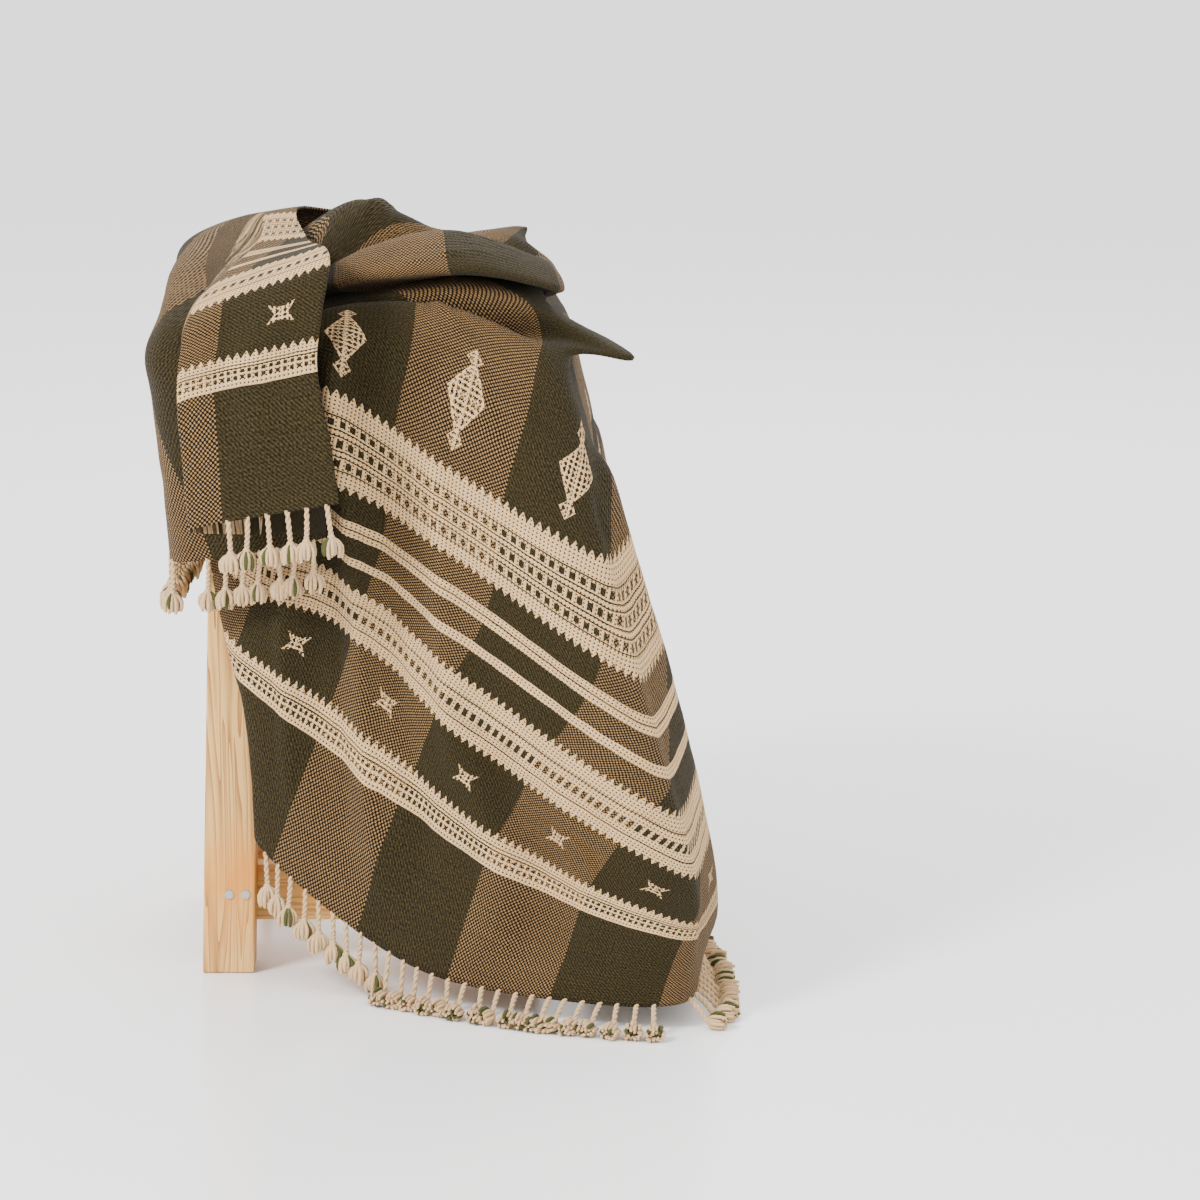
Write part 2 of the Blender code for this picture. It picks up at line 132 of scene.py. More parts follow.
# A crease is a soft ridge, or a trough where its height is negative, that runs straight
# from one station and row to another and fades over its half width. Each line has its name, its
# start station and row, its end station and row, its half width in stations and its height
CREASES = (
    ("left_overlap", 2.15, 0.2, 1.95, 4.6, 0.30, 9.0),
    ("left_hollow", 1.75, 0.3, 1.55, 4.4, 0.28, -7.0),
    ("hem_hollow", 3.30, 0.2, 3.05, 2.4, 0.30, -11.0),
    ("hem_ridge", 3.02, 0.2, 2.80, 3.2, 0.22, 7.0),
    ("right_ridge", 3.72, 0.4, 3.60, 5.0, 0.30, 6.0),
    ("shoulder_hollow", 2.40, 2.4, 2.75, 5.2, 0.30, -6.0),
    ("side_fold", 4.80, 0.3, 4.70, 5.0, 0.35, 12.0),
    ("side_hollow", 5.50, 0.3, 5.40, 5.0, 0.40, -12.0),
    ("back_fold", 6.30, 0.3, 6.20, 4.6, 0.35, 9.0),
    ("roll_crease", 2.40, 10.4, 4.20, 10.9, 0.35, -5.0),
    ("loop_fold_left", 2.30, 18.2, 2.10, 20.6, 0.40, -8.0),
    ("loop_fold_right", 4.20, 18.2, 4.40, 20.6, 0.45, -9.0),
    ("flap_crease", 6.62, 23.4, 6.55, 26.2, 0.16, -4.0),
    ("left_side_fold", 2.10, 23.2, 2.00, 26.4, 0.40, 7.0),
)
CREASE_FADE = 0.5

# A fringe strip has its name, its hem, and the stations where it starts and ends
FRINGES = (
    ("fringe_front", "front_hem", 1.03, 3.92),
    ("fringe_right", "front_hem", 4.12, 5.48),
    ("fringe_right_back", "front_hem", 5.52, 6.98),
    ("fringe_flap", "flap_hem", 6.3, 6.97),
    ("fringe_under_flap", "flap_hem", 4.16, 4.9),
    ("fringe_left", "flap_hem", 0.02, 3.9),
)

# Where the weave lies: for each row the warp distance from the nearest hem, and pairs of a
# station and its weft place
WEAVE = (
    ("front_hem", 0, ((1, 92), (4, 590))),
    ("star_border", 104, ((1, 35), (4, 580))),
    ("comb_border", 214, ((1, 0), (4, 536))),
    ("narrow_stripe", 356, ((1, -14), (4, 404))),
    ("wide_border", 491, ((1, -22), (4, 326))),
    ("shoulder", 570, ((1, -20), (4, 280))),
    ("panel_top", 640, ((1, -20), (4, 242))),
    ("first_valley", 690, ((1, -20), (4, 238))),
    ("tan_fold", 745, ((1, -15), (4, 232))),
    ("second_valley", 785, ((1, 40), (4, 300))),
    ("roll_front", 830, ((1, 60), (4, 330))),
    ("roll_top", 890, ((1, 60), (4, 330))),
    ("third_valley", 950, ((1, 60), (4, 330))),
    ("peak", 1010, ((1, -70), (4, 130))),
    ("back_edge", 1020, ((1, -20), (4, 160))),
    ("back_fall", 1000, ((1, -20), (4, 160))),
    ("loop_inner", 975, ((1, -20), (4, 160))),
    ("loop_low", 945, ((1, -20), (4, 160))),
    ("loop_outer", 915, ((1, -20), (4, 160))),
    ("back_climb", 825, ((1, -20), (4, 160))),
    ("back_shoulder", 700, ((1, -20), (4, 130))),
    ("crossing_back", 538, ((0, -40), (4, 100), (5, 140), (6, 180), (7, 212))),
    ("crossing_front", 388, ((0, -40), (4, 140), (5, 165), (6, 190), (7, 260))),
    ("flap_top", 238, ((0, -40), (4, 240), (5, 298), (6, 195), (7, 325))),
    ("flap_star", 165, ((0, -40), (4, 255), (5, 384), (6, 195), (7, 325))),
    ("flap_border", 106, ((0, -40), (4, 250), (5, 405), (6, 195), (7, 325))),
    ("flap_plain", 50, ((0, -40), (4, 216), (5, 364), (6, 197), (7, 325))),
    ("flap_hem", 0, ((0, -40), (4, 196), (5, 336), (6, 200), (7, 325))),
)

# Bands of the woven pattern: where each starts and ends in millimetres from the hem, its kind
# and the pitch of its repeat
BANDS = (
    (104, 110, "solid", 0), (110, 123, "cells", 6.5), (124.5, 127, "solid", 0),
    (128, 133, "solid", 0), (133, 142, "teeth_up", 8.5),
    (213, 221, "teeth_down", 8.5), (221, 231, "solid", 0), (232.5, 238, "solid", 0),
    (238, 254, "windows", 9), (254, 260, "solid", 0), (261.5, 275, "solid", 0), (275, 284, "teeth_up", 8.5),
    (311, 322, "solid", 0),
    (347, 355, "solid", 0), (356.5, 365, "solid", 0),
    (392, 400, "teeth_down", 8.5), (400, 412, "solid", 0), (413.5, 425, "windows", 10),
    (426.5, 431, "solid", 0), (432.5, 445, "windows", 10), (446.5, 451, "solid", 0),
    (452.5, 464, "windows", 10), (465.5, 482, "solid", 0), (482, 491, "teeth_up", 8.5),
)
STRIPE = 115.0

# The motifs of each stripe, a star and a diamond: the warp place of the middle, half the size
# across and up, how fast the star's arms widen, and where the outlines and the dots start
STAR_WARP = 178.0
STAR_HALF = (6.0, 6.5)
STAR_FLARE = (0.6, 0.35)
STAR_RIM = 1.7
DIAMOND_WARP = 548.0
DIAMOND_HALF = (19.0, 31.0)
TIP_AWAY = 34.0
TIP_HALF = (8.0, 10.0)
DIAMOND_RIM = 0.87
DOT_PITCH = (4.8, 5.2)
DOT_EDGE = -0.35

# Teeth and dark gaps of the bands, as shares of their pitch
TOOTH_FOOT = 1.05
GAP_HALF_WIDE = 0.27
GAP_HALF_HIGH = 0.3

# The side layer beside the flap lies in the plain stripes: its warp places, one a row from this
# row on, up to the station where the flap's fold starts
PLAIN_ROW = 20
PLAIN_END_STATION = 6.0
PLAIN_WARPS = (700, 760, 805, 850, 880, 922, 999, 1065)

# Grain sizes of the looks, in millimetres: of the wool, then of the pine and the steel
UNEVEN_SIZE = 16.667
SPECK_SIZE = 1.9231
CLOUD_SIZE = 45.455
SLUB_SIZE = (111.11, 3.3333, 1000.0)
WOOL_FIBRE_SIZE = 0.71429
RING_SIZE = 12.2549
PINE_FIBRE_SIZE = 1.13122
GRAIN_STRETCH = 21.25
BLOT_SIZE = 41.667
GRIT_SIZE = 1.1111

# How strongly each grain shows in the wool, and where a thread starts on its wave
THREAD_DRIFT = 2.2
OLIVE_LINES = 0.30
OLIVE_SPECKS = 2.4
OLIVE_DEPTH = -0.80
SEED_SPECKS = 0.5
SEED_EDGE = 0.40
SHADE_SPECKS = 0.95
SHADE_DEPTH = 0.35
BEIGE_GAP_EDGE = -1.15
CLOUD_DARKENS = 0.28
SLUB_DARKENS = 0.36
# Offset of the painted shade: the clouds and slubs paint shade only where they add up to more than this
PAINTED_SHADE_DEPTH = -0.14
THREAD_RELIEF = 0.25
FUZZ_RELIEF = 0.8

# The same for the pine, and the height of its resin stains
RING_LINES = 7.0
LATE_SHARPNESS = 1.8
LATE_SHOWS = 0.9
FIBRE_SHOWS = 0.22
BLOT_CONTRAST = 3.0
BLOT_DEPTH = -0.85
RESIN_SHOWS = 0.8
RESIN_HIGH = 85.0 * MM
RESIN_REACH = 71.429 * MM

# Heights of the relief
CLOTH_RELIEF = 1.2 * MM
YARN_RELIEF = 0.6 * MM
PINE_RELIEF = 0.4 * MM

# Shades beside the colours of the settings, sRGB
TAN_SHADE = "5A3E20"
BEIGE_SHADE = "A67D4E"
BEIGE_GAP = "33240F"
# Painted shadow colour, mixed into the wool in uneven clouds and streaks
PAINTED_SHADOW_COLOUR = "0E0B05"
UNDYED_YARN = ("8E6B44", "E6C79C")
OLIVE_YARN = ("2A2C12", "55582E")
FIBRE_SHADE = "B47A3A"
RESIN = "D9861C"
ZINC_SHADE = "8C8F8E"
ZINC = "C4C6C4"
FLOOR_COLOUR = "FAFAFA"

# The Mix node for colours, and its two colour inputs
COLOUR_MIX = {"data_type": "RGBA", "output": 2}
LOW = 6
HIGH = 7

# The stage, in metres; each lamp has its name, its place, its watts and its size
FLOOR_HALF = 12.0
FLOOR_BELOW = 0.5 * MM
DAYLIGHT = 1.9
DAYLIGHT_COLOUR = "FFFFFF"
LAMP_AIM = Vector((0.0, 0.0, 0.35))
LAMPS = (
    ("key", (-2.1, -1.9, 2.5), 170.0, 0.9),
    ("fill", (2.4, -1.8, 1.5), 30.0, 1.6),
    ("rim", (0.6, 2.4, 2.4), 60.0, 1.5),
)
SENSOR_WIDTH = 36.0

# The boards' corner points that lie closer than this are one point before the edges are eased
WELD_REACH = 0.05 * MM


class ThrowSettings(bpy.types.PropertyGroup):
    """Sizes and colours of the throw."""
    thread_pitch: bpy.props.FloatProperty(name="Thread pitch", default=0.0040, unit="LENGTH",
                                          description="Spacing of the threads that show")
    thickness: bpy.props.FloatProperty(name="Thickness", default=0.0022, unit="LENGTH",
                                       description="Thickness of the woven cloth")
    cells_across: bpy.props.IntProperty(name="Cells across", default=147,
                                        description="Quads of the sheet across the weft")
    cells_along: bpy.props.IntProperty(name="Cells along", default=270,
                                       description="Quads of the sheet along the warp")
    tuft_strands: bpy.props.IntProperty(name="Tuft strands", default=22,
                                        description="Cut yarns in one tassel's lock")
    olive: bpy.props.StringProperty(name="Olive wool", default="443A1F", description="Twill stripe, sRGB")
    olive_dark: bpy.props.StringProperty(name="Dark olive", default="140E05", description="Its shade, sRGB")
    tan: bpy.props.StringProperty(name="Tan thread", default="96764C", description="Plain stripe, sRGB")
    brown: bpy.props.StringProperty(name="Dark weft", default="120B05", description="Its weft, sRGB")
    beige: bpy.props.StringProperty(name="Beige yarn", default="DFBA8A",
                                    description="Pattern and fringe, sRGB")


class StoolSettings(bpy.types.PropertyGroup):
    """Colours of the stool."""
    pine: bpy.props.StringProperty(name="Pine", default="E2B567", description="Pale early wood, sRGB")
    grain: bpy.props.StringProperty(name="Grain", default="8E4E14", description="Late wood, sRGB")
    edge: bpy.props.FloatProperty(name="Eased edge", default=0.0015, unit="LENGTH",
                                  description="Radius of the sanded edges")


def linear(hex_colour):
    """An sRGB hex colour as linear red, green, blue and alpha."""
    parts = [int(hex_colour[i:i + 2], 16) / 255 for i in (0, 2, 4)]
    return (*(p / 12.92 if p <= 0.04045 else ((p + 0.055) / 1.055) ** 2.4 for p in parts), 1.0)


def node(tree, kind, *values, output=0, named=(), **settings):
    """Add a node with its settings, fill its inputs in order and by name, and give one output.

    A word after a dot in the kind is the node's operation. A value that is an output of another
    node is linked, any other is set. A node that has no outputs is given itself.
    """
    kind, _, operation = kind.partition(".")
    made = tree.nodes.new("ShaderNode" + kind)
    if operation:
        made.operation = operation
    for field, value in settings.items():
        setattr(made, field, value)
    for key, value in (*enumerate(values), *dict(named).items()):
        socket = made.inputs[key]
        if isinstance(value, bpy.types.NodeSocket):
            tree.links.new(value, socket)
        else:
            socket.default_value = value
    return made.outputs[output] if made.outputs else made


# The end of a curve, just inside its last piece
CURVE_END = 0.999999


def blend_four(before, start, end, after, t):
    """Catmull-Rom value between start and end."""
    t2 = t * t
    t3 = t2 * t
    return 0.5 * ((2 * start) + (end - before) * t + (2 * before - 5 * start + 4 * end - after) * t2
                  + (3 * start - before - 3 * end + after) * t3)


def along(points, t):
    """The value at t, from 0 to 1, of a smooth curve through a row of values."""
    last = len(points) - 1
    place = min(t, CURVE_END) * last
    index = int(place)
    before = points[max(index - 1, 0)]
    after = points[min(index + 2, last)]
    return blend_four(before, points[index], points[index + 1], after, place - index)


# Smaller folds than the solid has, in the same columns as the creases
FINE_CREASES = (
    ("left_drag", 1.40, 0.3, 1.25, 3.2, 0.14, 4.5),
    ("panel_ridge", 2.12, 0.4, 1.98, 5.0, 0.11, 6.0),
    ("panel_groove", 1.90, 0.4, 1.80, 4.8, 0.10, -4.5),
    ("front_drag_one", 2.50, 0.4, 2.30, 3.6, 0.16, -5.0),
    ("front_drag_two", 2.72, 1.2, 2.95, 5.4, 0.13, 4.0),
    ("front_drag_three", 3.45, 0.3, 3.38, 2.8, 0.12, 5.0),
    ("shoulder_drag", 3.30, 4.2, 2.60, 6.6, 0.14, 3.5),
    ("side_drag", 4.30, 0.4, 4.20, 4.8, 0.22, -4.0),
    ("roll_twist_one", 1.80, 10.1, 3.90, 10.7, 0.20, 4.5),
    ("roll_twist_two", 2.60, 10.6, 4.40, 11.3, 0.22, -4.5),
    ("peak_crease", 1.60, 12.4, 3.20, 13.5, 0.22, 4.5),
    ("flap_drag", 6.35, 23.2, 6.45, 26.0, 0.12, 3.0),
    ("left_drag_two", 1.10, 23.2, 1.20, 26.4, 0.30, -5.0),
    ("loop_drag", 3.30, 17.6, 3.20, 20.8, 0.30, 5.0),
)
WRINKLE = 0.9 * MM
WRINKLE_SIZE = 28.0 * MM
SMOOTH_HEM_CELLS = 8
HEM_STEP = 0.02

# Tassels: the strip along the hem, the cord, its place, and the lock of cut yarns at its end
TASSEL_PITCH = 16.0 * MM
PLACE_STEPS = 300
STRIP_STEPS = 120
STRIP_RADIUS = 0.8 * MM
HEM_BITE = 1.5 * MM
CORD_LONG = 25.0 * MM
CORD_ON_FLOOR = 9.0 * MM
CORD_STEPS = 16
CORD_TURNS = 2.6
PLY_RADIUS = 1.45 * MM
PLY_ASIDE = 0.8 * PLY_RADIUS
SWAY_ALONG = (-3.5, 3.5)
SWAY_OUT = (-1.0, 2.5)
CORD_DROP = 4.0 * MM
HANGING_BOW = 3.0 * MM
LAID_BOW = 2.0 * MM
HANGING_LEAN = 10.0
LAID_LEAN = (-0.25, 0.25)
LAID_HIGH = 6.0 * MM
FLOOR_CLEAR = 4.0 * MM
KNOT_PLACES = (-1.5 * MM, 0.5 * MM, 3.0 * MM, 4.5 * MM)
KNOT_RADII = (1.8 * MM, 3.6 * MM, 3.4 * MM, 2.0 * MM)
LOCK_LONG = 20.0 * MM
LOCK_SHARES = (0.72, 1.0)
LOCK_RADIUS = 9.6 * MM
WIDE_SHARES = (0.85, 1.1)
YARN_START = 1.5 * MM
START_ASIDE = 1.6 * MM
UPPER_BULGE = 1.2 * MM
LOWER_BULGE = 0.5 * MM
MIDDLE_WIDE = 0.95
TIP_WIDE = 0.85
YARN_RADII = (1.2 * MM, 1.7 * MM, 1.9 * MM, 1.8 * MM, 1.3 * MM)
YARN_ON_FLOOR = 2.2 * MM
OLIVE_SHARE = 0.14
GOLDEN_ANGLE = math.radians(137.5)


def crease_height(station, row):
    """The height of all creases at a station and row, in metres."""
    total = 0.0
    for _, station_a, row_a, station_b, row_b, half_width, height in CREASES + FINE_CREASES:
        reach = (row - row_a) / (row_b - row_a)
        fade = min(min(row - row_a, row_b - row) / CREASE_FADE, 1.0)
        middle = station_a + (station_b - station_a) * reach
        aside = abs(station - middle) / half_width
        if fade > 0.0 and aside < 1.0:
            rise = fade * fade * (3.0 - 2.0 * fade)
            total += height * MM * rise * 0.5 * (1.0 + math.cos(math.pi * aside))
    return total


def section_points():
    """The cloth's sections in the frame's own place, in metres."""
    return [[Vector(point) * MM + SHIFT for point in section[1:]] for section in SECTIONS]


def lengths_along(points):
    """The length of a line up to each of its points, in metres."""
    lengths = [0.0]
    for before, after in zip(points, points[1:]):
        lengths.append(lengths[-1] + (after - before).length)
    return lengths


def weft_row(points, marks):
    """The weft place, in metres, at each of many even steps along one section."""
    lengths = lengths_along(points)
    steps = (len(points) - 1) / LAST_STATION
    places = [(lengths[round(station * steps)], weft * MM) for station, weft in marks]
    wefts = []
    for length in lengths:
        for low, high in zip(places, places[1:]):
            if length <= high[0]:
                break
        scale = (high[1] - low[1]) / (high[0] - low[0])
        if length < low[0] or length > high[0]:
            scale = 1.0
        base = high if length > high[0] else low
        wefts.append(base[1] + (length - base[0]) * scale)
    return wefts


def make_sheet(name, cells_across, cells_along):
    """The draped sheet's middle surface, with its weave's own coordinates as a UV map."""
    rows = section_points()
    across = [[along(row, i / cells_across) for i in range(cells_across + 1)] for row in rows]
    wefts = [weft_row(points, marks) for points, (_, _, marks) in zip(across, WEAVE)]
    warps = [weave[1] * MM for weave in WEAVE]
    columns = list(zip(*across))
    weft_columns = list(zip(*wefts))
    sheet = bmesh.new()
    bmesh.ops.create_grid(sheet, x_segments=cells_across, y_segments=cells_along, size=1.0)
    places = {}
    smooth = []
    for j in range(cells_along + 1):
        smooth.append([along(column, j / cells_along) for column in columns])
    for vertex in sheet.verts:
        i = round((vertex.co.x + 1.0) / 2.0 * cells_across)
        j = round((vertex.co.y + 1.0) / 2.0 * cells_along)
        line = smooth[j]
        side = line[min(i + 1, cells_across)] - line[max(i - 1, 0)]
        up = smooth[min(j + 1, cells_along)][i] - smooth[max(j - 1, 0)][i]
        out = side.cross(up).normalized()
        station = i / cells_across * LAST_STATION
        row = j / cells_along * (len(SECTIONS) - 1)
        rise = crease_height(station, row)
        fade = min(j, cells_along - j, SMOOTH_HEM_CELLS) / SMOOTH_HEM_CELLS
        rise += noise.noise(line[i] / WRINKLE_SIZE) * WRINKLE * fade
        vertex.co = line[i] + out * rise
        warp = along(warps, j / cells_along)
        if row > PLAIN_ROW:
            plain = min(row - PLAIN_ROW, 1.0) * min(max(PLAIN_END_STATION - station, 0.0), 1.0)
            reach = (row - PLAIN_ROW) / (len(PLAIN_WARPS) - 1)
            warp += (along(PLAIN_WARPS, reach) * MM - warp) * plain
        places[vertex.index] = (along(weft_columns[i], j / cells_along), warp)
    weave_map = sheet.loops.layers.uv.new("weave")
    for face in sheet.faces:
        for loop in face.loops:
            loop[weave_map].uv = places[loop.vert.index]
    bmesh.ops.recalc_face_normals(sheet, faces=sheet.faces)
    mesh = bpy.data.meshes.new(name)
    sheet.to_mesh(mesh)
    sheet.free()
    mesh.shade_smooth()
    piece = bpy.data.objects.new(name, mesh)
    bpy.context.scene.collection.objects.link(piece)
    return piece


def hem_place(hem, station):
    """A point on a hem, the way the warp leaves it, the way along it, and out of its face."""
    names = [section[0] for section in SECTIONS]
    row = names.index(hem)
    inner = row + 1 if row == 0 else row - 1
    rows = section_points()
    point = along(rows[row], station / LAST_STATION)
    before = along(rows[row], (station - HEM_STEP) / LAST_STATION)
    after = along(rows[row], (station + HEM_STEP) / LAST_STATION)
    away = (point - along(rows[inner], station / LAST_STATION)).normalized()
    run = (after - before).normalized()
    return point, away, run, away.cross(run).normalized()


def tassel_places(hem, start, end, pitch):
    """Stations a tassel's pitch apart, at the middle of each stretch of that length."""
    stations = [start + (end - start) * i / PLACE_STEPS for i in range(PLACE_STEPS + 1)]
    lengths = lengths_along([hem_place(hem, station)[0] for station in stations])
    count = int(lengths[-1] / pitch)
    found = []
    for k in range(count):
        reach = (k + 0.5) * lengths[-1] / count
        found.append(stations[next(n for n, length in enumerate(lengths) if length >= reach)])
    return found


def lay_yarn(yarns, points, radii, dye=0):
    """One yarn through points; the dye counts along the piece's materials."""
    spline = yarns.splines.new("POLY")
    spline.points.add(len(points) - 1)
    for place, point, radius in zip(spline.points, points, radii):
        place.co = (*point, 1.0)
        place.radius = radius
    spline.material_index = dye


def lay_cord(yarns, points):
    """A two-ply cord: two yarns wound round each other along the points."""
    last = len(points) - 1
    for ply in range(2):
        wound = []
        for k, point in enumerate(points):
            way = (points[min(k + 1, last)] - points[max(k - 1, 0)]).normalized()
            angle = math.pi * ply + 2.0 * math.pi * CORD_TURNS * k / last
            aside = Vector((math.cos(angle), math.sin(angle), 0.0)) * PLY_ASIDE
            wound.append(point + way.to_track_quat("Z", "Y") @ aside)
        lay_yarn(yarns, wound, [PLY_RADIUS] * len(wound))


def lay_lock(yarns, neck, way, strands, draw):
    """A lock of cut yarns that spreads from a cord's end, a few of them dyed olive."""
    lay_yarn(yarns, [neck + way * place for place in KNOT_PLACES], KNOT_RADII)
    turn = way.to_track_quat("Z", "Y")
    for n in range(strands):
        angle = GOLDEN_ANGLE * n
        radial = turn @ Vector((math.cos(angle), math.sin(angle), 0.0))
        reach = LOCK_LONG * draw.uniform(*LOCK_SHARES)
        wide = LOCK_RADIUS * math.sqrt((n + 0.5) / strands) * draw.uniform(*WIDE_SHARES)
        start = neck + way * YARN_START + radial * START_ASIDE
        middle = neck + way * reach * 0.5 + radial * wide * MIDDLE_WIDE
        tip = neck + way * reach + radial * wide * TIP_WIDE
        upper = (start + middle) / 2 + radial * UPPER_BULGE
        lower = (middle + tip) / 2 + radial * LOWER_BULGE
        curve = [start, upper, middle, lower, tip]
        for place in curve:
            place.z = max(place.z, YARN_ON_FLOOR)
        dye = 1 if draw.random() < OLIVE_SHARE else 0
        lay_yarn(yarns, curve, YARN_RADII, dye)


def lay_tassel(yarns, point, away, run, out, strands, draw):
    """A cord from the hem and a lock of cut yarn at its end, hung or laid on the floor."""
    root = point - away * HEM_BITE
    sway = run * draw.uniform(*SWAY_ALONG) * MM + out * draw.uniform(*SWAY_OUT) * MM
    if point.z > CORD_LONG + LOCK_LONG + FLOOR_CLEAR:
        neck = root + away * CORD_DROP + Vector((0, 0, -CORD_LONG)) + sway
        way = Vector((sway.x * HANGING_LEAN, sway.y * HANGING_LEAN, -1.0)).normalized()
        bow = away * HANGING_BOW
    else:
        flat = Vector((out.x, out.y, 0)).normalized()
        fall = max(root.z - LAID_HIGH, 0.0)
        reach = math.sqrt(max(CORD_LONG ** 2 - fall ** 2, CORD_ON_FLOOR ** 2))
        neck = Vector((root.x, root.y, LAID_HIGH)) + flat * reach + Vector((sway.x, sway.y, 0.0))
        way = (flat + Vector((run.x, run.y, 0)) * draw.uniform(*LAID_LEAN)).normalized()
        bow = Vector((0, 0, LAID_BOW))
    shares = [k / CORD_STEPS for k in range(CORD_STEPS + 1)]
    lay_cord(yarns, [root.lerp(neck, share) + bow * math.sin(math.pi * share) for share in shares])
    lay_lock(yarns, neck, way, strands, draw)


def make_fringe(name, hem, start, end, strands, dyes):
    """One hem's strip and all its tassels, as one mesh."""
    draw = random.Random(name)
    yarns = bpy.data.curves.new(name, "CURVE")
    yarns.dimensions = "3D"
    yarns.bevel_depth = 1.0
    yarns.bevel_resolution = 1
    yarns.use_fill_caps = True
    for dye in dyes:
        yarns.materials.append(dye)
    strip = []
    for k in range(STRIP_STEPS + 1):
        point, away, _, _ = hem_place(hem, start + (end - start) * k / STRIP_STEPS)
        strip.append(point - away * HEM_BITE)
    lay_yarn(yarns, strip, [STRIP_RADIUS] * len(strip))
    for station in tassel_places(hem, start, end, TASSEL_PITCH):
        lay_tassel(yarns, *hem_place(hem, station), strands, draw)
    drawn = bpy.data.objects.new(name, yarns)
    mesh = bpy.data.meshes.new_from_object(drawn)
    bpy.data.objects.remove(drawn)
    mesh.shade_smooth()
    piece = bpy.data.objects.new(name, mesh)
    bpy.context.scene.collection.objects.link(piece)
    return piece


def new_material(name):
    """An empty node material, and the function that adds a node to it."""
    material = bpy.data.materials.new(name)
    material.use_nodes = True
    material.node_tree.nodes.clear()
    return material, functools.partial(node, material.node_tree)


def give_surface(add, inputs):
    """Put a Principled shader with these inputs on a material."""
    surface = add("BsdfPrincipled", named=inputs)
    add("OutputMaterial", surface, is_active_output=True)


def per_metre(size):
    """How many grains of a size in millimetres lie in a metre."""
    return 1.0 / (size * MM)


def off_middle(add, place, pitch):
    """How far a place is from the middle of its repeat, as a share of the pitch."""
    share = add("Math.FRACT", add("Math.DIVIDE", place, pitch))
    return add("Math.ABSOLUTE", add("Math.SUBTRACT", share, 0.5))


def band_mask(add, weft, warp):
    """One where the beige pattern yarn lies, from the table of bands, in millimetres."""
    total = 0.0
    for low, high, kind, pitch in BANDS:
        above = add("Math.GREATER_THAN", warp, low)
        inside = add("Math.MULTIPLY", above, add("Math.LESS_THAN", warp, high))
        if kind != "solid":
            aside = off_middle(add, weft, pitch)
            rise = add("Math.SUBTRACT", warp, low)
        if kind in ("teeth_up", "teeth_down"):
            reach = add("Math.DIVIDE", rise, high - low)
            if kind == "teeth_down":
                reach = add("Math.SUBTRACT", 1.0, reach)
            room = add("Math.SUBTRACT", TOOTH_FOOT, reach)
            keep = add("Math.LESS_THAN", add("Math.MULTIPLY", aside, 2.0), room)
            inside = add("Math.MULTIPLY", inside, keep)
        if kind in ("cells", "windows"):
            up = off_middle(add, rise, pitch if kind == "cells" else high - low)
            narrow = add("Math.LESS_THAN", aside, GAP_HALF_WIDE)
            dark = add("Math.MULTIPLY", narrow, add("Math.LESS_THAN", up, GAP_HALF_HIGH))
            inside = add("Math.MULTIPLY", inside, add("Math.SUBTRACT", 1.0, dark))
        total = add("Math.MAXIMUM", total, inside)
    return total


def motif_mask(add, weft, warp):
    """One on the dotted star of the border and on the outlined diamond of the field, one a stripe."""
    across = add("Math.MULTIPLY", off_middle(add, weft, STRIPE), STRIPE)
    star_up = add("Math.ABSOLUTE", add("Math.SUBTRACT", warp, STAR_WARP))
    waist = add("Math.MULTIPLY_ADD", star_up, STAR_FLARE[0], STAR_HALF[0])
    reach = add("Math.MULTIPLY_ADD", across, STAR_FLARE[1], STAR_HALF[1])
    star = add("Math.MULTIPLY", add("Math.LESS_THAN", across, waist), add("Math.LESS_THAN", star_up, reach))
    star_rim = add("Math.GREATER_THAN", across, add("Math.SUBTRACT", waist, STAR_RIM))
    up = add("Math.ABSOLUTE", add("Math.SUBTRACT", warp, DIAMOND_WARP))
    body_up = add("Math.DIVIDE", up, DIAMOND_HALF[1])
    body = add("Math.ADD", add("Math.DIVIDE", across, DIAMOND_HALF[0]), body_up)
    tip_up = add("Math.DIVIDE", add("Math.ABSOLUTE", add("Math.SUBTRACT", up, TIP_AWAY)), TIP_HALF[1])
    tip = add("Math.ADD", add("Math.DIVIDE", across, TIP_HALF[0]), tip_up)
    size = add("Math.MINIMUM", body, tip)
    diamond = add("Math.LESS_THAN", size, 1.0)
    rim = add("Math.GREATER_THAN", size, DIAMOND_RIM)
    dot_across = add("Math.SINE", add("Math.MULTIPLY", across, 2 * math.pi / DOT_PITCH[0]))
    dot_up = add("Math.SINE", add("Math.MULTIPLY", warp, 2 * math.pi / DOT_PITCH[1]))
    dots = add("Math.GREATER_THAN", add("Math.ADD", dot_across, dot_up), DOT_EDGE)
    filled = add("Math.MULTIPLY", dots, add("Math.MAXIMUM", star, diamond))
    outline = add("Math.MAXIMUM", add("Math.MULTIPLY", rim, diamond), add("Math.MULTIPLY", star_rim, star))
    return add("Math.MAXIMUM", filled, outline)


